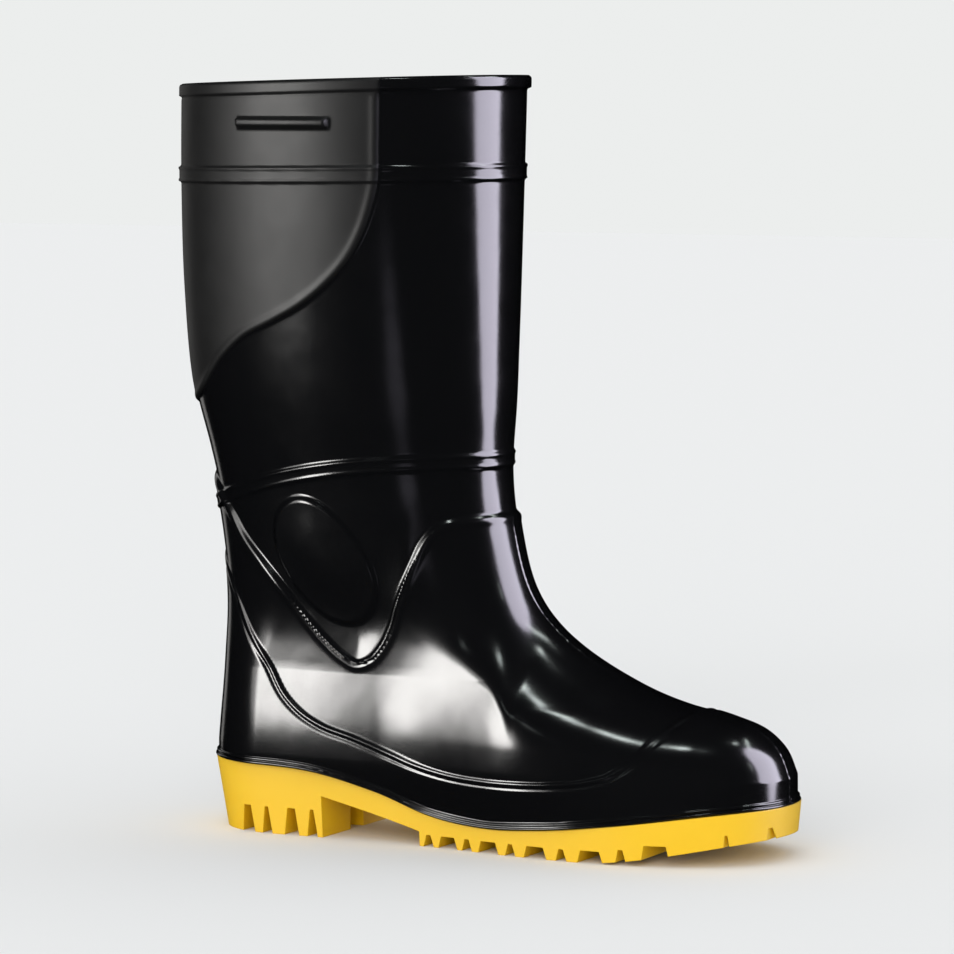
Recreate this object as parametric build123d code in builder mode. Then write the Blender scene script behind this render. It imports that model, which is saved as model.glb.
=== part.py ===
from build123d import *
import math
import os

# A right-foot moulded safety wellington. Millimetres, +X to the toe, +Z up, the outer side of the
# foot at -Y. The origin is on the ground, under the middle of the heel.

# Overall sizes
foot_length = 298.0         # sole, back of the heel to the toe
boot_height = 362.0         # ground to the front of the collar
heel_overhang = 44.7        # origin to the back of the heel
collar_drop = 4.5           # the collar's back below its front
shin_reach = 107.5          # origin to the narrowest point of the shin
calf_back = 59.9            # origin to the back of the ankle curve's top
heel_width = 70.0           # the upper's width at the heel and waist
ball_width = 99.0           # the upper's width at the ball of the foot
toe_width = 86.0            # the upper's width where the toe rounds off
collar_width = 124.0        # the shaft's width at the collar
ankle_width = 69.0          # the shaft's width low at the ankle
inner_swing = 7.0           # how far the toe leans to the inner side of the foot

# Upper
foot_wall = 5.4             # PVC wall of the foot
shaft_wall = 3.2            # PVC wall of the shaft
web_thickness = 3.0         # PVC web that closes the upper's bottom
rim_height = 6.0             # thick edge of the collar
rim_proud = 2.0
band_height = 7.5
band_drop = 37.0            # collar edge to the top of the band below it
band_proud = 1.5
rib_height = 6.5            # band round the ankle
rib_proud = 1.2
rib_lift = 184.5            # its top edge at the front
welt_height = 3.0
welt_proud = 2.5
grip_length = 49.0          # pull-on grip bar near the collar, on each side
grip_height = 6.0
grip_proud = 4.0
grip_front = 44.0           # origin to the grip's front end
grip_drop = 17.0            # the collar's back edge to the grip's top

# Outsole
heel_lift = 34.3            # sole's top edge above the ground, at the heel
ball_lift = 11.8            # and where it is lowest, behind the ball
toe_lift = 26.3             # and at the toe
heel_undercut = 6.0         # the heel's back edge slopes in this much at the ground
sole_draft = 3.0            # and its sides this much
heel_block_length = 71.7    # heel back to the breast
arch_length = 52.5          # gap between the heel and the forefoot tread
arch_roof = 20.0            # arch height at the heel breast
arch_low = 7.0              # and at the forefoot tread
breast_slot_width = 13.0    # slot up the middle of the heel's front face
breast_slot_depth = 8.0
breast_slot_height = 16.0
toe_spring = 12.5           # rise of the tread at the toe tip
spring_length = 88.0        # length over which it rises
forefoot_groove_depth = 5.6
heel_groove_depth = 13.0
heel_groove_reach = 20.0    # how far the heel's side grooves run in
groove_draft = 1.0          # a groove is this much wider at the ground, each side

# Cleats
pair_count = 5              # pairs of lugs across the forefoot
pair_pitch = 20.5           # length of the first pair with its groove
pair_growth = 2.8           # each next pair is this much longer
first_lug = 3.0             # length of the first lug of the first pair
first_lug_growth = 1.1
second_lug = 4.0
second_lug_growth = 1.0
narrow_groove = 4.2         # groove inside a pair
heel_groove_count = 4
heel_groove_start = 27.7    # heel back to the first groove
heel_groove_pitch = 12.2
heel_groove_widths = (6.0, 3.8)
notch_drops = (21.0, 6.5)   # toe to each notch in the sides of the toe block
notch_sides = (19.0, 7.0)   # centre line to where each one ends
notch_width = 3.0

# Toe cap, midsole and linings
cap_cover = 3.0             # PVC outside the toe cap
cap_thickness = 2.0
cap_length = 62.0
cap_fit = 0.1               # clearance on each face of the toe cap
strip_width = 8.0           # soft strip on the cap's rear edge
midsole_thickness = 1.0
board_thickness = 2.0
lining_thickness = 1.2
lining_fit = 0.1
foam_thickness = 6.0
cover_thickness = 1.0
footbed_fit = 1.2           # gap round the loose footbed
footbed_heel_gap = 2.4      # further gap behind its heel, so that it lifts clear
insert_length = 46.0        # heel shock absorber
insert_width = 38.0
insert_depth = 9.0
insert_fit = 0.2
stack_fit = 0.05            # gap between stacked layers

# Places that follow from the sizes
heel = -heel_overhang
toe = heel + foot_length
upper_heel = heel + 2.1
upper_toe = toe - 3.3
breast = heel + heel_block_length
tread_start = breast + arch_length
waist = heel + 101.7
ball = waist + 120.0
shaft_base = 174.5
collar_back = boot_height - collar_drop
collar_spare = 12.0         # the lofts run on this far above the collar, which is cut by a plane


def ease(value, start, end):
    """Smooth step from 0 at start to 1 at end."""
    t = min(max((value - start) / (end - start), 0.0), 1.0)
    return t * t * (3 - 2 * t)


def rounded(distance, radius, power=2.2):
    """0 at an edge, 1 once the distance from it passes the radius, rounded in between."""
    t = min(max(distance / radius, 0.0), 1.0)
    return (1 - (1 - t) ** power) ** (1 / power)


def centre_y(x):
    """The foot's centre line, which bends to the inner side towards the toe."""
    return inner_swing * ease(x, waist - 35, waist + 185)


def foot_half(x):
    """Half width of the foot, seen from above, without its rounded ends."""
    if x < ball:
        return heel_width / 2 + (ball_width - heel_width) / 2 * ease(x, waist, ball - 10)
    return ball_width / 2 - (ball_width - toe_width) / 2 * ease(x, ball, upper_toe)


def shaft_half(z):
    """Half width of the shaft at a height."""
    t = min(max((z - 80) / (boot_height - 80), 0.0), 1.0)
    return ankle_width / 2 + (collar_width - ankle_width) / 2 * (1 - (1 - t) ** 1.4)


def on_shaft(part_up):
    """Height of a point a share of the way up from the shaft's base to the collar's front."""
    return shaft_base + (boot_height - shaft_base) * part_up


# The upper's side outline, as (x, z): from under the toe, over the instep and up the shin, and
# from under the heel up the back. Each front point is paired with the back point of its section.
front_line = [
    (upper_toe - 1.0, 4.0),
    (upper_toe, 26.0),
    (upper_toe - 0.4, 38.0),
    (upper_toe - 4.9, 49.2),
    (upper_toe - 14.6, 58.2),
    (upper_toe - 32.8, 64.7),
    (upper_toe - 56.4, 69.7),
    (upper_toe - 82.6, 78.4),
    (shin_reach + 33.4, 93.7),
    (shin_reach + 13.6, 117.2),
    (shin_reach + 3.8, 146.5),
    (shin_reach, shaft_base),
    (shin_reach, on_shaft(0.17)),
    (shin_reach + 1.0, on_shaft(0.43)),
    (shin_reach + 2.0, on_shaft(0.72)),
    (shin_reach + 3.0, boot_height),
    (shin_reach + 3.2, boot_height + collar_spare),
]
back_line = [
    (upper_heel - 0.2, 4.0),
    (upper_heel - 0.2, 24.0),
    (upper_heel + 0.3, 42.0),
    (upper_heel + 1.5, 54.0),
    (upper_heel + 2.7, 66.0),
    (upper_heel + 3.5, 77.0),
    (upper_heel + 4.1, 90.0),
    (upper_heel + 4.3, 105.0),
    (upper_heel + 3.6, 121.0),
    (upper_heel + 1.2, 140.0),
    (upper_heel - 2.4, 161.0),
    (upper_heel - 6.8, 183.0),
    (-calf_back + 3.7, on_shaft(0.21)),
    (-calf_back, on_shaft(0.45)),
    (-calf_back - 0.6, on_shaft(0.72)),
    (-calf_back + 0.4, collar_back),
    (-calf_back + 0.6, collar_back + collar_spare),
]

# The sole's top edge, from the heel to the toe.
feather_line = [
    (heel - 5, heel_lift),
    (heel + 32, heel_lift - 0.3),
    (breast, heel_lift - 2.6),
    (waist, heel_lift - 9.7),
    (waist + 30, ball_lift + 3.1),
    (waist + 60, ball_lift),
    (waist + 90, ball_lift + 1.7),
    (waist + 135, ball_lift + 7.3),
    (toe - 18, toe_lift - 1.4),
    (toe + 5, toe_lift),
]


def dense(points, steps=90):
    """The smooth curve through (x, z) points, as evenly spaced (x, z) points."""
    with BuildLine() as curve:
        Spline(*[(x, z) for x, z in points])
    edge = curve.edges()[0]
    return [((edge @ (i / steps)).X, (edge @ (i / steps)).Y) for i in range(steps + 1)]


def lookup(curve, value, given, wanted):
    """Read a dense curve: the wanted coordinate where the given one reaches the value."""
    for first, second in zip(curve, curve[1:]):
        low, high = first[given], second[given]
        if min(low, high) <= value <= max(low, high) and low != high:
            share = (value - low) / (high - low)
            return first[wanted] + share * (second[wanted] - first[wanted])
    ends = sorted([curve[0], curve[-1]], key=lambda point: abs(point[given] - value))
    return ends[0][wanted]


def moved_in(points, insets, side):
    """Each outline point moved into the boot, square to the outline."""
    result = []
    for i, (x, z) in enumerate(points):
        x1, z1 = points[max(i - 1, 0)]
        x2, z2 = points[min(i + 1, len(points) - 1)]
        length = math.hypot(x2 - x1, z2 - z1)
        shift = side * insets[i] / length
        result.append((x - shift * (z2 - z1), z + shift * (x2 - x1)))
    return result


def wall_at(z, at_foot, at_shaft):
    """A wall that changes from its foot value to its shaft value round the ankle."""
    return at_foot + (at_shaft - at_foot) * ease(z, 90, 150)


def half_width(x, z, front, back, inset):
    """Half width at a point of the side view, inside the front and back outlines by inset."""
    top = lookup(front[::-1], x, 0, 1) if x > shin_reach + 3.9 else math.inf
    upward = ease(z, 80, 170)
    depth = (lookup(front, z, 1, 0) - lookup(back, z, 1, 0)) / 2 if z > 60 else 55.0
    nose = 55 + (depth - 55) * upward
    tail = 36 + (depth - 36) * upward
    ahead = max(lookup(front, z, 1, 0) - x, 1e-6)
    above = max(top - z, 1e-6)
    reach = 1 / math.hypot(nose / ahead, 44.0 / above)
    blend = ease(z, 49.5, 129.5)
    broad = foot_half(x) * (1 - blend) + shaft_half(z) * blend - inset
    return broad * rounded(reach, 1.0) * rounded(x - lookup(back, z, 1, 0), tail, 2.1)


def outline_points(front_point, back_point, width_at, count=11):
    """Local points round a section, from its back end round the outer side and back."""
    length = math.dist(front_point, back_point)
    sides = []
    for i in range(count + 1):
        share = (1 - math.cos(math.pi * i / count)) / 2
        x = back_point[0] + (front_point[0] - back_point[0]) * share
        z = back_point[1] + (front_point[1] - back_point[1]) * share
        half = 0.0 if i in (0, count) else width_at(x, z)
        sides.append((share * length, centre_y(x), half))
    left = [(s, y + half) for s, y, half in sides]
    right = [(s, y - half) for s, y, half in sides[1:-1]]
    return left + right[::-1]


def section_plane(front_point, back_point):
    """The plane of a section that runs straight across the boot."""
    dx = front_point[0] - back_point[0]
    dz = front_point[1] - back_point[1]
    return Plane(origin=(back_point[0], 0, back_point[1]), x_dir=(dx, 0, dz), z_dir=(-dz, 0, dx))


def skin(at_foot, at_shaft):
    """Closed solid whose surface lies inside the boot's outer surface by the given walls."""
    front_in = moved_in(front_line, [wall_at(z, at_foot, at_shaft) for _, z in front_line], 1)
    back_in = moved_in(back_line, [wall_at(z, at_foot, at_shaft) for _, z in back_line], -1)
    front = dense(front_in)
    back = dense(back_in)
    with BuildPart() as solid:
        for front_point, back_point in zip(front_in, back_in):
            inset = wall_at((front_point[1] + back_point[1]) / 2, at_foot, at_shaft)
            with BuildSketch(section_plane(front_point, back_point)):
                with BuildLine():
                    Spline(
                        *outline_points(
                            front_point,
                            back_point,
                            lambda x, z: half_width(x, z, front, back, inset),
                        ),
                        periodic=True,
                    )
                make_face()
        loft()
    return solid.part




def side_region(upper_points, lower_points, half_depth=90.0):
    """Solid between two side-view curves, each from the heel to the toe, right across the boot."""
    with BuildPart() as region:
        with BuildSketch(Plane.XZ):
            with BuildLine():
                upper_edge = Spline(*upper_points)
                lower_edge = Spline(*lower_points)
                Line(upper_edge @ 0, lower_edge @ 0)
                Line(upper_edge @ 1, lower_edge @ 1)
            make_face()
        extrude(amount=half_depth, both=True)
    return region.part


def lifted(points, rise):
    """A side-view curve moved straight up."""
    return [(x, z + rise) for x, z in points]


def over_sole(bottom, top):
    """Region between two heights above the sole's top edge line."""
    return side_region(lifted(feather_line, top), lifted(feather_line, bottom))


def sole_outline(front_x, back_x, inset, level):
    """The foot's outline at a level, seen from above, inside its sides by inset."""

    def width_at(x, z):
        return (foot_half(x) - inset) * rounded(front_x - x, 55.0) * rounded(x - back_x, 36.0, 2.1)

    with BuildSketch(section_plane((front_x, level), (back_x, level))) as outline:
        with BuildLine():
            Spline(*outline_points((front_x, level), (back_x, level), width_at), periodic=True)
        make_face()
    return outline.sketch


def cleat_groove(start, width, depth, near=-80.0, far=80.0):
    """Cutter for a drafted groove across the tread, from start forward, between two y values."""
    with BuildPart() as cutter:
        with BuildSketch(Plane.XZ.offset(-far)):
            with BuildLine():
                Polyline(
                    (start - groove_draft, -groove_draft),
                    (start + groove_draft, depth),
                    (start + width - groove_draft, depth),
                    (start + width + groove_draft, -groove_draft),
                    close=True,
                )
            make_face()
        extrude(amount=far - near)
    return cutter.part


# Levels of the layers inside the foot, above the sole's top edge line
midsole_level = web_thickness + stack_fit
board_level = midsole_level + midsole_thickness + stack_fit
lining_level = board_level + board_thickness + stack_fit
foam_level = lining_level + lining_thickness + stack_fit
cover_level = foam_level + foam_thickness
cover_top = cover_level + cover_thickness

# Insets of the layers inside the outer surface
cap_outer = cap_cover + cap_fit
cap_inner = cap_outer + cap_thickness
lining_foot = foot_wall + lining_fit
lining_shaft = shaft_wall + lining_fit
footbed_inset = lining_foot + lining_thickness + footbed_fit
cap_rear = upper_toe - cap_length

# Bodies that several pieces are cut from
below_sole = over_sole(-80.0, 0.0)
outer_body = skin(0.0, 0.0)
cavity_body = skin(foot_wall, shaft_wall)
cavity = cavity_body - over_sole(-80.0, web_thickness)
collar_slope = collar_drop / (shin_reach + calf_back + 3)
collar_line = [
    (-calf_back - 40, collar_back - 40 * collar_slope),
    (0, collar_back + calf_back * collar_slope),
    (shin_reach + 40, boot_height + 37 * collar_slope),
]
over_collar = side_region(lifted(collar_line, 60.0), collar_line)
rib_line = [
    (-calf_back - 12, rib_lift - 36),
    (-30, rib_lift - 21),
    (12, rib_lift - 9),
    (65, rib_lift - 2),
    (shin_reach + 12, rib_lift),
]


def raised_band(line, proud, height):
    """A band that stands out from the upper, its top edge on a side-view line."""
    with BuildPart() as band:
        add(skin(-proud, -proud))
        add(side_region(line, lifted(line, -height)), mode=Mode.INTERSECT)
    return band.part


rim = raised_band(lifted(collar_line, 3.0), rim_proud, rim_height + 3.0)
collar_band = raised_band(lifted(collar_line, -band_drop), band_proud, band_height)
ankle_rib = raised_band(rib_line, rib_proud, rib_height)

# Welt: the bead at the bottom of the upper, flush with the sole's side
with BuildPart() as welt:
    add(sole_outline(toe, heel, -welt_proud, 0.0))
    extrude(amount=heel_lift + 20)
    add(over_sole(0.0, welt_height), mode=Mode.INTERSECT)

# Pull-on grips: a short ledge on each side of the shaft
with BuildPart() as grips:
    add(skin(-grip_proud, -grip_proud))
    with BuildSketch(Plane.XZ) as grip_side:
        with Locations((grip_front - grip_length / 2, collar_back - grip_drop + grip_height / 2)):
            RectangleRounded(grip_length, grip_height, grip_height / 3)
    extrude(amount=90, both=True, mode=Mode.INTERSECT)


def toe_layer(outer_inset, inner_inset, back_x, front_x, level):
    """The part of a layer of the foot's wall that lies over the toes, from a level upward."""
    with BuildPart() as piece:
        add(skin(outer_inset, outer_inset))
        with Locations(((back_x + front_x) / 2, 0, 60)):
            Box(front_x - back_x, 200, 160, mode=Mode.INTERSECT)
        add(skin(inner_inset, inner_inset), mode=Mode.SUBTRACT)
        add(over_sole(-80.0, level), mode=Mode.SUBTRACT)
    return piece.part


strip_rear = cap_rear - cap_fit - strip_width
cap_pocket = toe_layer(cap_cover, foot_wall + 1.0, strip_rear - cap_fit, toe, web_thickness)

# The moulded upper, in one piece with its rim, bands, grips, welt and closed bottom
with BuildPart() as upper_shell:
    add(outer_body)
    add(below_sole, mode=Mode.SUBTRACT)
    add(welt.part)
    add(rim)
    add(collar_band)
    add(ankle_rib)
    add(grips.part)
    add(over_collar, mode=Mode.SUBTRACT)
    add(cavity, mode=Mode.SUBTRACT)
    add(cap_pocket, mode=Mode.SUBTRACT)
upper_shell.part.label = "upper_shell"

# Steel toe cap and the soft strip on its rear edge, between the PVC and the lining
steel_toe_cap = toe_layer(cap_outer, cap_inner, cap_rear, toe, midsole_level)
steel_toe_cap.label = "steel_toe_cap"
toe_cap_edge_strip = toe_layer(cap_outer, cap_inner, strip_rear, cap_rear - cap_fit, midsole_level)
toe_cap_edge_strip.label = "toe_cap_edge_strip"

# Steel midsole: a puncture plate on the upper's bottom web
with BuildPart() as steel_midsole:
    add(skin(foot_wall + cap_fit, foot_wall + cap_fit))
    add(over_sole(midsole_level, midsole_level + midsole_thickness), mode=Mode.INTERSECT)
steel_midsole.part.label = "steel_midsole"

# Insole board that the lining is lasted on
with BuildPart() as insole_board:
    add(skin(foot_wall + cap_fit, foot_wall + cap_fit))
    add(over_sole(board_level, board_level + board_thickness), mode=Mode.INTERSECT)
insole_board.part.label = "insole_board"

# Knitted lining sock, open at the collar
lining_space = skin(lining_foot + lining_thickness, lining_shaft + lining_thickness)
with BuildPart() as lining_sock:
    add(skin(lining_foot, lining_shaft))
    add(over_sole(-80.0, lining_level), mode=Mode.SUBTRACT)
    add(over_collar, mode=Mode.SUBTRACT)
    add(lining_space - over_sole(-80.0, lining_level + lining_thickness), mode=Mode.SUBTRACT)
lining_sock.part.label = "lining_sock"

# Loose footbed: foam with a fabric cover on top
with BuildPart() as footbed_plan:
    add(
        sole_outline(
            upper_toe - footbed_inset - 1.0,
            upper_heel + footbed_inset + footbed_heel_gap,
            footbed_inset,
            0.0,
        )
    )
    extrude(amount=heel_lift + 40)
with BuildPart() as footbed_foam:
    add(skin(footbed_inset, footbed_inset))
    add(over_sole(foam_level, cover_level), mode=Mode.INTERSECT)
    add(footbed_plan.part, mode=Mode.INTERSECT)
footbed_foam.part.label = "footbed_foam"

with BuildPart() as footbed_cover:
    add(skin(footbed_inset, footbed_inset))
    add(over_sole(cover_level, cover_top), mode=Mode.INTERSECT)
    add(footbed_plan.part, mode=Mode.INTERSECT)
footbed_cover.part.label = "footbed_cover"

# Heel shock absorber, sealed between the outsole's heel and the upper
insert_middle = heel + 38.0
insert_bottom = heel_lift - 1.0 - insert_depth


def insert_block(growth, bottom):
    """The shock absorber's shape, grown all round by a clearance, up to the sole's top edge line."""
    with BuildPart() as block:
        with BuildSketch(Plane.XY.offset(bottom)):
            with Locations((insert_middle, 0)):
                RectangleRounded(
                    insert_length + 2 * growth, insert_width + 2 * growth, insert_width / 3
                )
        extrude(amount=heel_lift)
        add(over_sole(-80.0, 0.0), mode=Mode.INTERSECT)
    return block.part


with BuildPart() as heel_insert:
    add(insert_block(0.0, insert_bottom))
    add(over_sole(-80.0, -stack_fit), mode=Mode.INTERSECT)
heel_insert.part.label = "heel_insert"

# Side view of the space under the sole: the arch behind the forefoot tread and the toe spring
with BuildPart() as arch_gap:
    with BuildSketch(Plane.XZ):
        with BuildLine():
            roof_middle = (breast + 0.45 * arch_length, arch_low + 0.58 * (arch_roof - arch_low))
            roof = Spline((breast, arch_roof), roof_middle, (tread_start, arch_low))
            Polyline(roof @ 1, (tread_start, -5), (breast, -5), roof @ 0)
        make_face()
    extrude(amount=90, both=True)

spring_start = toe - spring_length
spring_line = [
    (spring_start, 0.0),
    (spring_start + 0.14 * spring_length, 0.05 * toe_spring),
    (spring_start + 0.5 * spring_length, 0.42 * toe_spring),
    (toe + 2, toe_spring),
]


def tread_height(x):
    """Height of the tread's underside above the ground."""
    return lookup(dense(spring_line), x, 0, 1) if x > spring_start else 0.0


with BuildPart() as toe_gap:
    with BuildSketch(Plane.XZ):
        with BuildLine():
            spring = Spline(*spring_line)
            Polyline(spring @ 1, (toe + 2, -5), (spring_start, -5), spring @ 0)
        make_face()
    extrude(amount=90, both=True)

# Cleat pattern: pairs of lugs across the forefoot, growing towards the toe, and side grooves up
# the heel block
with BuildPart() as outsole:
    add(sole_outline(toe - sole_draft, heel + heel_undercut, sole_draft - welt_proud, 0.0))
    add(sole_outline(toe, heel, -welt_proud, heel_lift + 2.0))
    loft()
    add(below_sole, mode=Mode.INTERSECT)
    add(arch_gap.part, mode=Mode.SUBTRACT)
    add(toe_gap.part, mode=Mode.SUBTRACT)
    add(insert_block(insert_fit, insert_bottom - insert_fit), mode=Mode.SUBTRACT)
    for i in range(pair_count):
        pair_start = tread_start + pair_pitch * i + pair_growth * i * (i - 1) / 2
        next_start = tread_start + pair_pitch * (i + 1) + pair_growth * i * (i + 1) / 2
        narrow_start = pair_start + first_lug + first_lug_growth * i
        wide_start = narrow_start + narrow_groove + second_lug + second_lug_growth * i
        wide_groove = next_start - wide_start
        for start, width in ((narrow_start, narrow_groove), (wide_start, wide_groove)):
            depth = tread_height(start + width / 2) + forefoot_groove_depth
            add(cleat_groove(start, width, depth), mode=Mode.SUBTRACT)
    for i in range(heel_groove_count):
        start = heel + heel_groove_start + heel_groove_pitch * i
        width = heel_groove_widths[i % 2]
        reach = heel_width / 2 - heel_groove_reach
        add(cleat_groove(start, width, heel_groove_depth, reach, 80.0), mode=Mode.SUBTRACT)
        add(cleat_groove(start, width, heel_groove_depth, -80.0, -reach), mode=Mode.SUBTRACT)
    for drop, side in zip(notch_drops, notch_sides):
        start = toe - drop
        depth = tread_height(start) + forefoot_groove_depth
        add(cleat_groove(start, notch_width, depth, centre_y(start) + side, 80.0), mode=Mode.SUBTRACT)
        add(cleat_groove(start, notch_width, depth, -80.0, centre_y(start) - side), mode=Mode.SUBTRACT)
    with Locations((breast, 0, 0)):
        Box(
            2 * breast_slot_depth,
            breast_slot_width,
            2 * breast_slot_height,
            mode=Mode.SUBTRACT,
        )
outsole.part.label = "outsole"

os.makedirs("parts", exist_ok=True)
export_step(upper_shell.part, "parts/upper_shell.step")
export_step(outsole.part, "parts/outsole.step")
export_step(steel_toe_cap, "parts/steel_toe_cap.step")
export_step(toe_cap_edge_strip, "parts/toe_cap_edge_strip.step")
export_step(steel_midsole.part, "parts/steel_midsole.step")
export_step(insole_board.part, "parts/insole_board.step")
export_step(lining_sock.part, "parts/lining_sock.step")
export_step(footbed_foam.part, "parts/footbed_foam.step")
export_step(footbed_cover.part, "parts/footbed_cover.step")
export_step(heel_insert.part, "parts/heel_insert.step")
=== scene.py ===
import math
import bmesh
import bpy
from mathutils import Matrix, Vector
import numpy as np


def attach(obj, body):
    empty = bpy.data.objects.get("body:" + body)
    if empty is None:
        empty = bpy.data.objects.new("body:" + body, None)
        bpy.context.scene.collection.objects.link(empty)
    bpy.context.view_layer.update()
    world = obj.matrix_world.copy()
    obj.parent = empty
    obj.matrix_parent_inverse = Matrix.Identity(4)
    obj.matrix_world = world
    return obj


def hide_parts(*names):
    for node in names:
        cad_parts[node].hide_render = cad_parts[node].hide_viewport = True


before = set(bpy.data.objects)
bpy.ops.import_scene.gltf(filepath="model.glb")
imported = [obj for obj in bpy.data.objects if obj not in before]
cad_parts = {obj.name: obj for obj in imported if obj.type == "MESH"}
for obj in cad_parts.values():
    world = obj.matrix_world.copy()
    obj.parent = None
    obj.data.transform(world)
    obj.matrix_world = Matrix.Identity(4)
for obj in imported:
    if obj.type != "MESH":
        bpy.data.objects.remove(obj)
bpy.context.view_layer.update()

# Lengths are in millimetres up to the meshes, which are made in metres. The frame is the CAD
# model's: the origin on the ground under the heel, +X to the toe, the outer side at -Y.
MM = 0.001
WELD = 1e-6  # metres

# Sizes shared with the CAD model
HEEL = -44.7
TOE = 253.3
UPPER_HEEL = HEEL + 2.1
UPPER_TOE = TOE - 3.3
BREAST = HEEL + 71.7
WAIST = HEEL + 101.7
BALL = WAIST + 120.0
SHIN = 107.5
CALF = -59.9
HEIGHT = 362.0
COLLAR_BACK = 357.5
HEEL_HALF = 35.0
BALL_HALF = 49.5
TOE_HALF = 43.0
COLLAR_HALF = 62.0
ANKLE_HALF = 34.5
FOOT_WALL = 5.4
SHAFT_WALL = 3.2
WEB = 3.0
LINING = 1.2
LINING_GAP = 0.1
LINING_LEVEL = 6.15
LINING_DROP = 1.5
TOE_SWING = 7.0
# How far in the surface starts to round off, before the front line, the back line and the instep
NOSE_ROUND = 55.0
TAIL_ROUND = 36.0
INSTEP_ROUND = 44.0

FRONT_LINE = [
    (UPPER_TOE, 38.0), (UPPER_TOE - 4.9, 49.2), (UPPER_TOE - 14.6, 58.2), (UPPER_TOE - 32.8, 64.7),
    (UPPER_TOE - 56.4, 69.7), (UPPER_TOE - 82.6, 78.4), (SHIN + 33.4, 93.7), (SHIN + 13.6, 117.2),
    (SHIN + 3.8, 146.5), (SHIN, 174.5), (SHIN, 206.4), (SHIN + 1.0, 255.1), (SHIN + 2.0, 309.5),
    (SHIN + 3.0, HEIGHT),
]
BACK_LINE = [
    (UPPER_HEEL + 0.3, 42.0), (UPPER_HEEL + 1.5, 54.0), (UPPER_HEEL + 2.7, 66.0),
    (UPPER_HEEL + 3.5, 77.0), (UPPER_HEEL + 4.1, 90.0), (UPPER_HEEL + 4.3, 105.0),
    (UPPER_HEEL + 3.6, 121.0), (UPPER_HEEL + 1.2, 140.0), (UPPER_HEEL - 2.4, 161.0),
    (UPPER_HEEL - 6.8, 183.0), (CALF + 3.7, 213.9), (CALF, 258.9), (CALF - 0.6, 309.5),
    (CALF + 0.4, COLLAR_BACK),
]
FEATHER_LINE = [
    (HEEL - 5, 34.3), (HEEL + 32, 34.0), (BREAST, 31.7), (WAIST, 24.6), (WAIST + 30, 14.9),
    (WAIST + 60, 11.8), (WAIST + 90, 13.5), (WAIST + 135, 19.1), (TOE - 18, 24.9), (TOE + 5, 26.3),
]


def ease(value, start, end):
    """Smooth step from 0 at start to 1 at end."""
    t = np.clip((value - start) / (end - start), 0.0, 1.0)
    return t * t * (3 - 2 * t)


def rounded(distance, radius, power=2.2):
    """0 at an edge, 1 once the distance from it passes the radius, rounded in between."""
    t = np.clip(distance / radius, 0.0, 1.0)
    return (1 - (1 - t) ** power) ** (1 / power)


def smooth_line(points, steps=400):
    """A smooth curve through (x, z) points, as a dense polyline."""
    points = np.array(points, float)
    length = np.concatenate([[0], np.cumsum(np.hypot(*np.diff(points, axis=0).T))])
    slope = np.gradient(points, length, axis=0)
    at = np.linspace(0, length[-1], steps)
    k = np.clip(np.searchsorted(length, at, side="right") - 1, 0, len(points) - 2)
    span = (length[k + 1] - length[k])[:, None]
    t = ((at - length[k])[:, None]) / span
    return (
        (2 * t**3 - 3 * t**2 + 1) * points[k]
        + (t**3 - 2 * t**2 + t) * span * slope[k]
        + (3 * t**2 - 2 * t**3) * points[k + 1]
        + (t**3 - t**2) * span * slope[k + 1]
    )


def moved_in(line, inset):
    """A polyline moved square to itself by a distance, to its left."""
    step = np.gradient(line, axis=0)
    step /= np.hypot(step[:, 0], step[:, 1])[:, None]
    return line + inset[:, None] * np.stack([-step[:, 1], step[:, 0]], 1)


def feather_z(x):
    """Height of the line where the upper meets the sole."""
    line = smooth_line(FEATHER_LINE)
    return np.interp(x, line[:, 0], line[:, 1])


def collar_z(x):
    """The collar's height, rising from the calf to the shin."""
    return COLLAR_BACK + (HEIGHT - COLLAR_BACK) * (x - CALF) / (SHIN - CALF)


def centre_y(x):
    """The foot's centre line, which swings towards the inner side at the toe."""
    return TOE_SWING * ease(x, WAIST - 35, WAIST + 185)


def foot_half(x):
    """Half width of the foot, seen from above."""
    rear = HEEL_HALF + (BALL_HALF - HEEL_HALF) * ease(x, WAIST, BALL - 10)
    fore = BALL_HALF - (BALL_HALF - TOE_HALF) * ease(x, BALL, UPPER_TOE)
    return np.where(x < BALL, rear, fore)


def shaft_half(z):
    """Half width of the shaft, widening from the ankle to the collar."""
    t = np.clip((z - 80) / (HEIGHT - 80), 0, 1)
    return ANKLE_HALF + (COLLAR_HALF - ANKLE_HALF) * (1 - (1 - t) ** 1.4)


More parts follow.
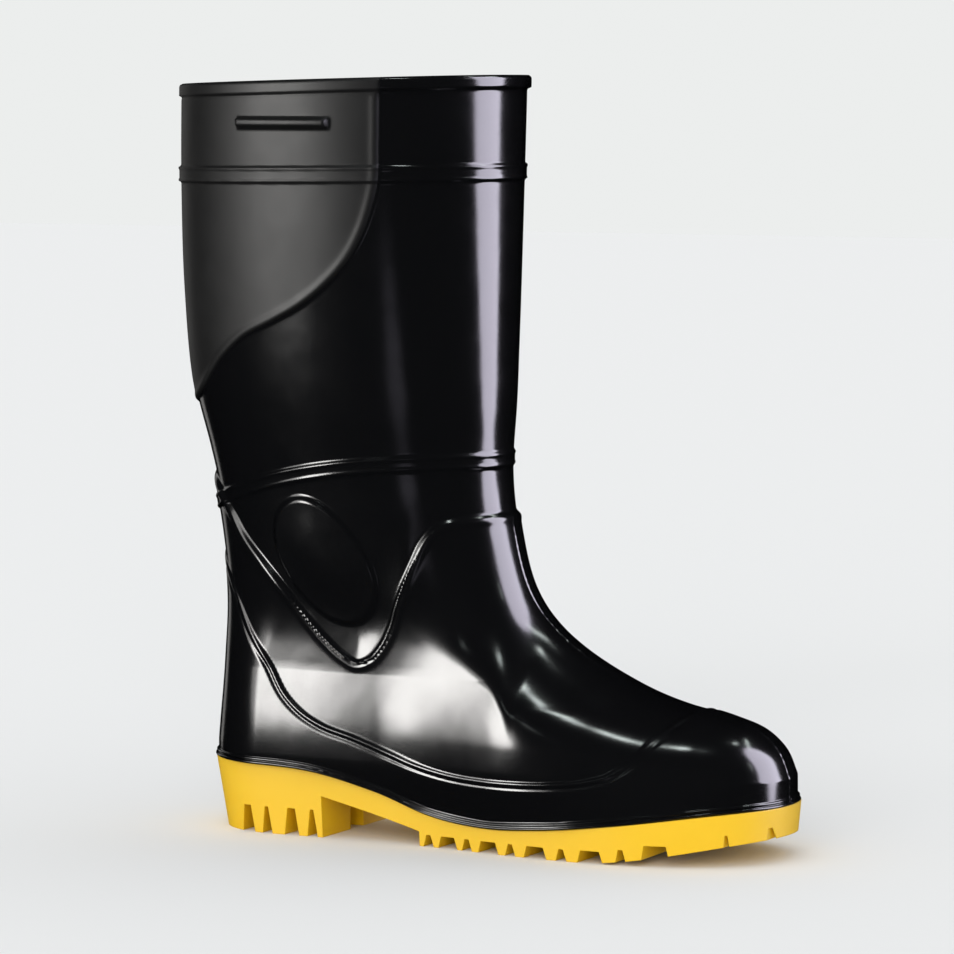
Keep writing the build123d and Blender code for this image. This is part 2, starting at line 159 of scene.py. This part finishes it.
class Surface:
    """The boot's surface, inside the outer one by a wall that changes round the ankle."""

    def __init__(self, at_foot=0.0, at_shaft=0.0):
        self.walls = (at_foot, at_shaft)
        front = smooth_line(FRONT_LINE)
        back = smooth_line(BACK_LINE)
        self.front = moved_in(front, self.wall(front[:, 1]))
        self.back = moved_in(back, -self.wall(back[:, 1]))
        self.front[-1, 1] = HEIGHT
        self.back[-1, 1] = COLLAR_BACK

    def wall(self, z):
        at_foot, at_shaft = self.walls
        return at_foot + (at_shaft - at_foot) * ease(z, 90, 150)

    def front_x(self, z):
        return np.interp(z, self.front[:, 1], self.front[:, 0])

    def back_x(self, z):
        return np.interp(z, self.back[:, 1], self.back[:, 0])

    def top_z(self, x):
        """Height of the instep over x; beyond the shin the shaft has no top."""
        along = np.maximum.accumulate(self.front[::-1, 0])
        top = np.interp(x, along, self.front[::-1, 1])
        return np.where(x < SHIN + 3.9 - self.walls[1], 1e6, top)

    def half_width(self, x, z):
        """Half width at a side-view point: broad in the middle, rounded off at front and back."""
        upward = ease(z, 80, 170)
        depth = np.where(z > 60, (self.front_x(z) - self.back_x(z)) / 2, NOSE_ROUND)
        nose = NOSE_ROUND + (depth - NOSE_ROUND) * upward
        tail = TAIL_ROUND + (depth - TAIL_ROUND) * upward
        ahead = np.maximum(self.front_x(z) - x, 1e-6)
        above = np.maximum(self.top_z(x) - z, 1e-6)
        on_instep = ease(x, SHIN + 3.9, SHIN + 26)
        reach = 1 / np.hypot(nose / ahead, INSTEP_ROUND / above * on_instep)
        blend = ease(z, 49.5, 129.5)
        broad = foot_half(x) * (1 - blend) + shaft_half(z) * blend
        inset = self.wall(z)
        return (broad - inset) * rounded(reach, 1.0) * rounded(x - self.back_x(z), tail, 2.1)

    def grid(self, rows, low_rows, columns):
        """Side-view points (x, z) and half widths: rows from the collar to the sole line."""
        rise = np.linspace(0, 1, rows)
        front = self.front[::-1]
        back = self.back[::-1]
        pick = rise * (len(front) - 1)
        low = np.floor(pick).astype(int).clip(0, len(front) - 2)
        part = (pick - low)[:, None]
        fronts = front[low] * (1 - part) + front[low + 1] * part
        backs = back[low] * (1 - part) + back[low + 1] * part
        share = (1 - np.cos(np.linspace(0, math.pi, columns))) / 2
        x = backs[:, :1] + (fronts[:, :1] - backs[:, :1]) * share
        z = backs[:, 1:] + (fronts[:, 1:] - backs[:, 1:]) * share
        drop = np.linspace(1, 0, low_rows + 1)[1:, None]
        low_x = np.broadcast_to(x[-1], (low_rows, columns))
        low_z = feather_z(low_x) + (z[-1] - feather_z(low_x)) * drop
        low_half = self.half_width(low_x, np.maximum(low_z, 14.0))
        half = self.half_width(x, z)
        x = np.vstack([x, low_x])
        z = np.vstack([z, low_z])
        half = np.vstack([half, low_half])
        half[:, 0] = half[:, -1] = 0
        return x, z, half

    def wrapped(self, rows, low_rows, columns):
        """Grid points (x, y, z) all round: forward on the inner side, back on the outer one."""
        x, z, half = self.grid(rows, low_rows, columns)
        y = centre_y(x)
        inner_side = np.stack([x, y + half, z], -1)
        outer_side = np.stack([x, y - half, z], -1)
        return np.concatenate([inner_side, outer_side[:, -2:0:-1]], axis=1)


def normals_of(points):
    """Outward normals of a grid that is closed along its second axis."""
    down = np.gradient(points, axis=0)
    around = (np.roll(points, -1, axis=1) - np.roll(points, 1, axis=1)) / 2
    normal = np.cross(around, down)
    length = np.linalg.norm(normal, axis=2, keepdims=True)
    return normal / np.maximum(length, 1e-9)


def depth_below(line, x, z):
    """How far a point lies below a side-view curve z(x)."""
    curve = smooth_line(line)
    return np.interp(x, curve[:, 0], curve[:, 1]) - z


def weld(mesh, turn_outward=False):
    """Merge the points that lie on each other, and turn the faces outward if asked."""
    shell = bmesh.new()
    shell.from_mesh(mesh)
    bmesh.ops.remove_doubles(shell, verts=shell.verts, dist=WELD)
    if turn_outward:
        bmesh.ops.recalc_face_normals(shell, faces=shell.faces)
    shell.to_mesh(mesh)
    shell.free()


def new_object(name, verts, faces, smooth=True, closed=False):
    mesh = bpy.data.meshes.new(name)
    mesh.from_pydata(verts.tolist(), [], faces.tolist())
    if closed:
        weld(mesh, turn_outward=True)
    mesh.update()
    if smooth:
        mesh.shade_smooth()
    obj = bpy.data.objects.new(name, mesh)
    bpy.context.scene.collection.objects.link(obj)
    return obj


def grid_faces(rows, columns):
    """Quads of a grid that is closed along its columns."""
    r = np.arange(rows - 1)[:, None] * columns
    c = np.arange(columns)[None, :]
    n = (c + 1) % columns
    return np.stack([r + c, r + n, r + columns + n, r + columns + c], -1).reshape(-1, 4)


# ---------------------------------------------------------------------------
# Relief of the moulded upper: millimetres that each feature stands out

REAR_PANEL = [
    (-75, 196), (-39, 210.5), (-20, 228), (-6, 238), (12, 246), (29, 254.7), (42, 264.4), (53, 276),
    (60, 288), (64.5, 300), (67.5, 312), (68.5, 330), (69.5, 366),
]
RIB_TOP = [(-70, 146), (-50, 156), (-30, 164), (-10, 170), (12, 175.7), (38, 180.3), (65, 183),
           (86, 184.2), (120, 184.6)]
OVERLAY = [
    (-70, 185), (-38, 165), (-26, 154.2), (-17, 143), (-4.5, 131), (8.6, 117.7), (20, 104.5),
    (31, 94), (39.8, 87.5), (46.5, 84.7), (53.7, 87.2), (60, 94), (64.5, 102.5), (68.4, 113),
    (72.6, 123), (77, 134), (81.5, 144), (86.5, 150), (91.9, 152.8), (98, 153.8), (106, 154.6),
    (120, 155.4),
]
FOXING = [
    (-60, 160), (-44, 140), (-24, 116), (-12, 98.5), (0, 83), (10, 68), (19, 60.6), (28, 56),
    (47, 50.5), (66, 44.3), (80, 40), (98, 36.6), (118, 35.3), (137, 35.4), (155, 36.4),
    (169, 38), (181.7, 42), (188.3, 47.1), (194.4, 53.7), (200.2, 60.6), (205, 66), (211, 74),
]
# Oval ankle pad
PAD_MIDDLE = (31.0, 133.0)
PAD_HALF = (34.5, 21.5)
PAD_TILT = math.radians(-52)
PAD_POWER = 2.2
# Pull-on grip: its ends in x, its underside and its top
GRIP_REAR, GRIP_FRONT, GRIP_LOW, GRIP_HIGH = -3.6, 45.5, 336.6, 342.4
RIM_PROUD = 2.0
RIM_ROUND = 1.8
BAND_TOP = 319.2
BAND_SLOPE = 0.012
BAND_HEIGHT = 7.3
RIB_HEIGHT = 6.8
BULGE = 5.2
PARTING_PROUD = 0.55
PARTING_HALF = 0.9
# Welt beads: middle over the sole line, half height, how far it stands out
WELT_BEADS = ((0.9, 0.95, 1.5), (2.7, 0.8, 1.0))


def curve_distance(line, x, z):
    """Signed distance from a side-view curve, positive below or in front of it."""
    curve = smooth_line(line, 260)
    flat_x, flat_z = x.ravel(), z.ravel()
    best = np.full(flat_x.shape, 1e9)
    sign = np.ones_like(best)
    for (x0, z0), (x1, z1) in zip(curve, curve[1:]):
        dx, dz = x1 - x0, z1 - z0
        along = np.clip(((flat_x - x0) * dx + (flat_z - z0) * dz) / (dx * dx + dz * dz), 0, 1)
        away = np.hypot(flat_x - x0 - along * dx, flat_z - z0 - along * dz)
        closer = away < best
        best = np.where(closer, away, best)
        turn = (flat_x - x0) * dz - (flat_z - z0) * dx
        sign = np.where(closer, np.sign(turn), sign)
    return (best * sign).reshape(x.shape)


def relief(points):
    """How far the moulded surface stands out at each point, and how matte it is."""
    x, y, z = points[..., 0], points[..., 1], points[..., 2]
    under = collar_z(x) - z
    out = np.zeros_like(x)
    # rim with a rounded top and a soft lower edge
    rim = RIM_PROUD * (1 - ease(under, 5.6, 6.8))
    edge = np.clip(1 - under / RIM_ROUND, 0, 1)
    out += rim - RIM_ROUND * (1 - np.sqrt(1 - edge**2))
    # rear panel, raised and matte, with a bead inside its edge
    panel = curve_distance(REAR_PANEL, x, z)
    on_panel = 1 - ease(panel, -1.6, 0.4)
    out += 0.9 * on_panel * ease(under, 5.0, 8.0)
    out += 0.45 * np.exp(-(((panel + 2.6) / 1.8) ** 2)) * ease(under, 6.0, 10.0)
    # collar band, double edged
    band_top = BAND_TOP + BAND_SLOPE * (x - 20)
    band = np.minimum(band_top - z, z - band_top + BAND_HEIGHT)
    out += 1.3 * ease(band, -0.5, 0.5) - 0.4 * ease(band, 1.0, 1.6)
    # pull-on grip ledge with a flat top
    sides = [x - GRIP_REAR, GRIP_FRONT - x, (z - GRIP_LOW) * 0.6, (GRIP_HIGH - z) * 1.5]
    out += 3.6 * ease(np.minimum.reduce(sides), -0.2, 1.5)
    # rib band round the ankle: a shallow raised band with a bead on each edge
    rib_top = depth_below(RIB_TOP, x, z)
    rib = np.minimum(rib_top, RIB_HEIGHT - rib_top)
    out += 1.0 * ease(rib, -0.8, 0.8) - 0.35 * ease(rib, 1.0, 2.0)
    # foot overlay: the ankle above it steps in but flares out to it in the V, and a bead edges it
    overlay = curve_distance(OVERLAY, x, z)
    out -= 1.7 * (1 - ease(overlay, -2.4, 0.8)) * ease(-z, -220, -165)
    out += 0.35 * np.exp(-(((overlay - 1.8) / 1.5) ** 2))
    flare = np.clip(1 + overlay / 17, 0, 1) * (overlay < 0) * ease(x, 0, 25) * (1 - ease(x, 70, 85))
    out += 1.5 * flare**2
    # the foot's sides bulge, and draw in at the ankle
    side = ease(x, -45, -5) * (1 - ease(x, 120, 190))
    out += BULGE * side * ease(z, 8, 40) * (1 - ease(z, 38, 112))
    out -= 1.0 * side * ease(z, 85, 112) * (1 - ease(z, 112, 160))
    # oval ankle pad
    dx, dz = x - PAD_MIDDLE[0], z - PAD_MIDDLE[1]
    u = (dx * math.cos(PAD_TILT) + dz * math.sin(PAD_TILT)) / PAD_HALF[0]
    v = (-dx * math.sin(PAD_TILT) + dz * math.cos(PAD_TILT)) / PAD_HALF[1]
    radius = (np.abs(u) ** PAD_POWER + np.abs(v) ** PAD_POWER) ** (1 / PAD_POWER)
    out += 1.6 * ease(1 - radius, -0.02, 0.10) + 1.6 * ease(1 - radius, 0.0, 1.0)
    # foxing: a raised mudguard with a fine groove along its edge
    foxing = curve_distance(FOXING, x, z)
    out += 0.8 * ease(foxing, -0.8, 0.8) - 0.5 * np.exp(-(((foxing - 2.6) / 0.8) ** 2))
    # two welt beads above the sole
    over = z - feather_z(x)
    for middle, half, proud in WELT_BEADS:
        out += proud * np.sqrt(np.clip(1 - ((over - middle) / half) ** 2, 0, 1))
    # parting line of the mould, down the shin, the instep and the toe
    beside = y - centre_y(x)
    ahead = (x > 60) * (1 - ease(z, 135, 170))
    rough = 0.75 + 0.25 * np.sin(z * 2.1) * np.sin(z * 0.83 + x * 1.3)
    out += PARTING_PROUD * rough * np.exp(-((beside / PARTING_HALF) ** 2)) * ahead
    return out, on_panel


def bottom_rows(points, level, count=8):
    """Rows that close the grid's last row towards its centre line at a level over the sole."""
    last = points[-1]
    rows = []
    for share in np.linspace(1, 0, count + 1)[1:]:
        row = last.copy()
        row[:, 1] = centre_y(row[:, 0]) + (last[:, 1] - centre_y(last[:, 0])) * share
        row[:, 2] = feather_z(row[:, 0]) + level
        rows.append(row)
    return np.array(rows)


def make_upper():
    rows, low_rows, columns = ((500, 56, 320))
    outer = Surface().wrapped(rows, low_rows, columns)
    out, panel = relief(outer)
    shaped = outer + normals_of(outer) * out[..., None]
    shaped[-1, :, 2] = feather_z(outer[-1, :, 0])
    floor = bottom_rows(shaped, 0.0)
    inner = Surface(FOOT_WALL, SHAFT_WALL).wrapped(rows // 5, 10, columns)
    inner[..., 2] = np.maximum(inner[..., 2], feather_z(inner[..., 0]) + WEB)
    inner_floor = bottom_rows(inner, WEB)
    # the grid runs: inner floor, inner wall up to the collar, over the rim, outer wall, floor
    whole = np.concatenate([inner_floor[::-1], inner[::-1], shaped, floor])
    matte = np.zeros(whole.shape[:2])
    start = len(inner_floor) + len(inner)
    matte[start:start + len(shaped)] = panel
    boot = new_object("upper", whole.reshape(-1, 3) * MM, grid_faces(len(whole), outer.shape[1]))
    paint = boot.data.attributes.new("matte", "FLOAT", "POINT")
    paint.data.foreach_set("value", matte.reshape(-1).astype(np.float32))
    weld(boot.data)
    return boot


def make_lining():
    """The knitted sock against the upper's inner wall, closed under the foot by its own floor."""
    rows, low_rows, columns = ((180, 24, 200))
    skins = []
    for gap, level in ((LINING_GAP, LINING_LEVEL), (LINING_GAP + LINING, LINING_LEVEL + LINING)):
        skin = Surface(FOOT_WALL + gap, SHAFT_WALL + gap).wrapped(rows, low_rows, columns)
        top = collar_z(skin[..., 0]) - LINING_DROP
        skin[..., 2] = np.clip(skin[..., 2], feather_z(skin[..., 0]) + level, top)
        skins.append((skin, bottom_rows(skin, level)))
    (outer, outer_floor), (inner, inner_floor) = skins
    whole = np.concatenate([inner_floor[::-1], inner[::-1], outer, outer_floor])
    faces = grid_faces(len(whole), outer.shape[1])
    return new_object("lining", whole.reshape(-1, 3) * MM, faces, closed=True)


# ---------------------------------------------------------------------------
# Materials


def material(name):
    """A new material, its nodes and links, and its shader."""
    mat = bpy.data.materials.new(name)
    mat.use_nodes = True
    nodes = mat.node_tree.nodes
    shader = nodes["Principled BSDF"]
    return mat, nodes, mat.node_tree.links, shader


def noise(nodes, links, scale, detail=4.0, roughness=0.6):
    """A noise texture on object coordinates, whose unit is a metre."""
    coords = nodes.new("ShaderNodeTexCoord")
    tex = nodes.new("ShaderNodeTexNoise")
    tex.inputs["Scale"].default_value = scale
    tex.inputs["Detail"].default_value = detail
    tex.inputs["Roughness"].default_value = roughness
    links.new(coords.outputs["Object"], tex.inputs["Vector"])
    return tex


def ramp(nodes, links, source, low, high):
    """Map a 0 to 1 value to the range low to high."""
    node = nodes.new("ShaderNodeMapRange")
    node.inputs["To Min"].default_value = low
    node.inputs["To Max"].default_value = high
    links.new(source, node.inputs["Value"])
    return node.outputs["Result"]


def mix_colour(nodes, links, factor, first, second):
    """Blend two colours by a factor."""
    node = nodes.new("ShaderNodeMix")
    node.data_type = "RGBA"
    node.inputs["A"].default_value = (*first, 1)
    node.inputs["B"].default_value = (*second, 1)
    links.new(factor, node.inputs["Factor"])
    return node.outputs["Result"]


def bump(nodes, links, height, strength, distance, shader, after=None):
    """Drive the shader's normal with a bump, on top of another node's normal if one is given."""
    node = nodes.new("ShaderNodeBump")
    node.inputs["Strength"].default_value = strength
    node.inputs["Distance"].default_value = distance
    links.new(height, node.inputs["Height"])
    if after is not None:
        links.new(after.outputs["Normal"], node.inputs["Normal"])
    links.new(node.outputs["Normal"], shader.inputs["Normal"])
    return node


def mix_value(nodes, links, factor, first, second):
    """Blend two values by a factor."""
    node = nodes.new("ShaderNodeMix")
    node.data_type = "FLOAT"
    links.new(factor, node.inputs["Factor"])
    links.new(first, node.inputs["A"])
    links.new(second, node.inputs["B"])
    return node.outputs["Result"]


def black_pvc():
    """Glossy moulded PVC with faint ripples, and a finely grained matte panel at the back."""
    mat, nodes, links, shader = material("black_pvc")
    panel = nodes.new("ShaderNodeAttribute")
    panel.attribute_name = "matte"
    waves = noise(nodes, links, 28.0, 2.0)
    grain = noise(nodes, links, 1900.0, 3.0)
    smudge = noise(nodes, links, 60.0, 5.0)
    glossy = ramp(nodes, links, smudge.outputs["Fac"], 0.10, 0.20)
    matte = ramp(nodes, links, smudge.outputs["Fac"], 0.42, 0.54)
    rough = mix_value(nodes, links, panel.outputs["Fac"], glossy, matte)
    links.new(rough, shader.inputs["Roughness"])
    gloss_black, matte_black = (0.0030, 0.0031, 0.0036), (0.0045, 0.0046, 0.0050)
    colour = mix_colour(nodes, links, panel.outputs["Fac"], gloss_black, matte_black)
    links.new(colour, shader.inputs["Base Color"])
    ripple = bump(nodes, links, waves.outputs["Fac"], 0.10, 0.002, shader)
    bump(nodes, links, grain.outputs["Fac"], 0.04, 0.0003, shader, after=ripple)
    shader.inputs["IOR"].default_value = 1.5
    return mat


def yellow_pvc():
    """Satin yellow PVC, slightly uneven in colour, with softened edges."""
    mat, nodes, links, shader = material("yellow_pvc")
    cloud = noise(nodes, links, 45.0, 5.0)
    grain = noise(nodes, links, 2600.0, 2.0)
    dull, bright = (0.84, 0.505, 0.005), (0.88, 0.545, 0.010)
    colour = mix_colour(nodes, links, cloud.outputs["Fac"], dull, bright)
    links.new(colour, shader.inputs["Base Color"])
    rough = ramp(nodes, links, cloud.outputs["Fac"], 0.38, 0.50)
    links.new(rough, shader.inputs["Roughness"])
    shader.inputs["Subsurface Weight"].default_value = 0.12
    shader.inputs["Subsurface Radius"].default_value = (0.004, 0.0025, 0.0008)
    soft = nodes.new("ShaderNodeBevel")
    soft.inputs["Radius"].default_value = 0.0007
    bump(nodes, links, grain.outputs["Fac"], 0.05, 0.0003, shader, after=soft)
    return mat


def knit(name, dark, light, scale):
    """Knitted or woven cloth: crossed waves over object space."""
    mat, nodes, links, shader = material(name)
    coords = nodes.new("ShaderNodeTexCoord")
    heights = []
    for direction in ("Z", "X"):
        wave = nodes.new("ShaderNodeTexWave")
        wave.bands_direction = direction
        wave.inputs["Scale"].default_value = scale
        wave.inputs["Distortion"].default_value = 1.5
        wave.inputs["Detail"].default_value = 2.0
        links.new(coords.outputs["Object"], wave.inputs["Vector"])
        heights.append(wave.outputs["Fac"])
    product = nodes.new("ShaderNodeMath")
    product.operation = "MULTIPLY"
    links.new(heights[0], product.inputs[0])
    links.new(heights[1], product.inputs[1])
    colour = mix_colour(nodes, links, product.outputs[0], dark, light)
    links.new(colour, shader.inputs["Base Color"])
    shader.inputs["Roughness"].default_value = 0.95
    shader.inputs["Sheen Weight"].default_value = 0.3
    bump(nodes, links, product.outputs[0], 0.6, 0.0006, shader)
    return mat


def plain(name, colour, roughness, metallic=0.0, scale=200.0, depth=0.0002):
    """A hidden piece's finish: slightly uneven colour, roughness and surface."""
    mat, nodes, links, shader = material(name)
    cloud = noise(nodes, links, scale, 5.0)
    darker = tuple(0.8 * c for c in colour)
    uneven = mix_colour(nodes, links, cloud.outputs["Fac"], darker, colour)
    links.new(uneven, shader.inputs["Base Color"])
    spread = ramp(nodes, links, cloud.outputs["Fac"], roughness - 0.06, roughness + 0.06)
    links.new(spread, shader.inputs["Roughness"])
    shader.inputs["Metallic"].default_value = metallic
    bump(nodes, links, cloud.outputs["Fac"], 0.3, depth, shader)
    return mat


def give(node, mat):
    """Put a material on a carried-over CAD node."""
    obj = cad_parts[node]
    obj.data.materials.clear()
    obj.data.materials.append(mat)


upper = make_upper()
upper.data.materials.append(black_pvc())
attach(upper, "boot")
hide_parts("upper_shell")

lining = make_lining()
lining.data.materials.append(knit("lining_knit", (0.30, 0.30, 0.29), (0.62, 0.61, 0.58), 420.0))
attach(lining, "boot")
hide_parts("lining_sock")

give("outsole", yellow_pvc())
give("footbed_cover", knit("footbed_cloth", (0.03, 0.03, 0.035), (0.10, 0.10, 0.11), 500.0))
give("footbed_foam", plain("footbed_foam", (0.14, 0.14, 0.15), 0.85, scale=900.0, depth=0.0004))
give("heel_insert", plain("insert_foam", (0.05, 0.12, 0.30), 0.6, scale=700.0))
give("insole_board", plain("fibre_board", (0.52, 0.40, 0.26), 0.85, scale=600.0))
give("steel_toe_cap", plain("lacquered_steel", (0.32, 0.33, 0.35), 0.35, metallic=1.0))
give("steel_midsole", plain("plate_steel", (0.55, 0.55, 0.57), 0.30, metallic=1.0))
give("toe_cap_edge_strip", plain("strip_foam", (0.06, 0.06, 0.065), 0.8, scale=800.0))


# ---------------------------------------------------------------------------
# Floor, lights and camera


def make_stage():
    """A pale paper floor that gloss does not reflect."""
    side = 8.0
    verts = np.array([(-side, -side, 0), (side, -side, 0), (side, side, 0), (-side, side, 0)])
    floor = new_object("floor", verts, np.array([[0, 1, 2, 3]]), smooth=False)
    mat, _, _, shader = material("floor_paper")
    shader.inputs["Base Color"].default_value = (0.805, 0.805, 0.815, 1)
    shader.inputs["Roughness"].default_value = 0.6
    shader.inputs["Specular IOR Level"].default_value = 0.0
    floor.data.materials.append(mat)
    floor.visible_glossy = False


def softbox(name, place, aim, size, power, colour):
    """An elliptical light that only gloss sees."""
    light = bpy.data.lights.new(name, "AREA")
    light.shape = "ELLIPSE"
    light.size, light.size_y = size
    light.energy = power
    light.color = colour
    obj = bpy.data.objects.new(name, light)
    bpy.context.scene.collection.objects.link(obj)
    obj.location = place
    direction = Vector(aim) - Vector(place)
    obj.rotation_euler = direction.to_track_quat("-Z", "Y").to_euler()
    obj.visible_diffuse = False


def sun(name, tilt, turn, energy):
    """A broad soft light that gloss does not reflect."""
    light = bpy.data.lights.new(name, "SUN")
    light.energy = energy
    light.angle = math.radians(45)
    obj = bpy.data.objects.new(name, light)
    bpy.context.scene.collection.objects.link(obj)
    obj.rotation_euler = (math.radians(tilt), 0, math.radians(turn))
    obj.visible_glossy = False


def make_lights():
    """A pale studio that gloss does not reflect, and softboxes that only gloss does.

    The softboxes stand where the main camera sees the photograph's highlights.
    """
    world = bpy.data.worlds.new("studio")
    bpy.context.scene.world = world
    world.use_nodes = True
    background = world.node_tree.nodes["Background"]
    background.inputs["Color"].default_value = (0.838, 0.853, 0.846, 1)
    background.inputs["Strength"].default_value = 1.0
    world.cycles_visibility.glossy = False
    sun("sky", 25, -12, 0.31)
    sun("front", 76, 15, 1.5)
    lavender = (0.88, 0.84, 1.0)
    warm = (1.0, 0.985, 0.96)
    mint = (0.90, 1.0, 0.97)
    boxes = (
        # name, azimuth and elevation in degrees as seen from the aim, distance, aim and size in
        # metres, power, colour
        ("strip", 21, 16, 1.2, (0.05, 0, 0.25), (0.86, 1.6), 38, lavender),
        ("wall", -127, 13, 1.5, (0.08, 0, 0.08), (0.80, 0.82), 7, warm),
        ("core", -123, 9, 1.4, (0.08, 0, 0.08), (0.34, 0.56), 9, warm),
        ("haze", -74, -13, 1.5, (0.07, 0, 0.20), (0.26, 0.26), 0.10, lavender),
        ("streak_a", -74, 69, 1.3, (0.13, 0, 0.08), (0.16, 0.10), 1.1, mint),
        ("streak_c", 46, 52, 1.3, (0.13, 0, 0.10), (0.45, 0.06), 0.9, mint),
        ("streak_d", -98, 33, 1.3, (0.10, 0, 0.09), (0.07, 0.04), 0.05, mint),
        ("streak_e", -6, 28, 1.3, (0.11, 0, 0.12), (0.05, 0.30), 0.2, mint),
        ("toe_glint", 42, 70, 1.3, (0.23, 0, 0.05), (0.10, 0.10), 0.5, mint),
        ("back_edge", 150, 8, 1.6, (-0.04, 0, 0.15), (0.5, 1.2), 0.9, warm),
    )
    for name, azimuth, elevation, distance, aim, size, power, colour in boxes:
        across, up = math.radians(azimuth), math.radians(elevation)
        level = math.cos(up)
        away = Vector((level * math.cos(across), level * math.sin(across), math.sin(up)))
        softbox(name, Vector(aim) + distance * away, aim, size, power, colour)


def make_camera():
    """The camera fitted to the photograph together with the boot's outline."""
    yaw = math.radians(27)
    down = 4.865
    distance = 2.2
    middle = 0.092
    height = 0.3595
    data = bpy.data.cameras.new("camera")
    data.sensor_width = 36.0
    data.lens = 176.0
    data.clip_end = 50
    camera = bpy.data.objects.new("camera", data)
    bpy.context.scene.collection.objects.link(camera)
    camera.location = (middle + distance * math.sin(yaw), -distance * math.cos(yaw), height)
    camera.rotation_euler = (math.radians(90 - down), 0, yaw)
    bpy.context.scene.camera = camera
    bpy.context.scene.view_settings.view_transform = "Standard"


make_stage()
make_lights()
make_camera()
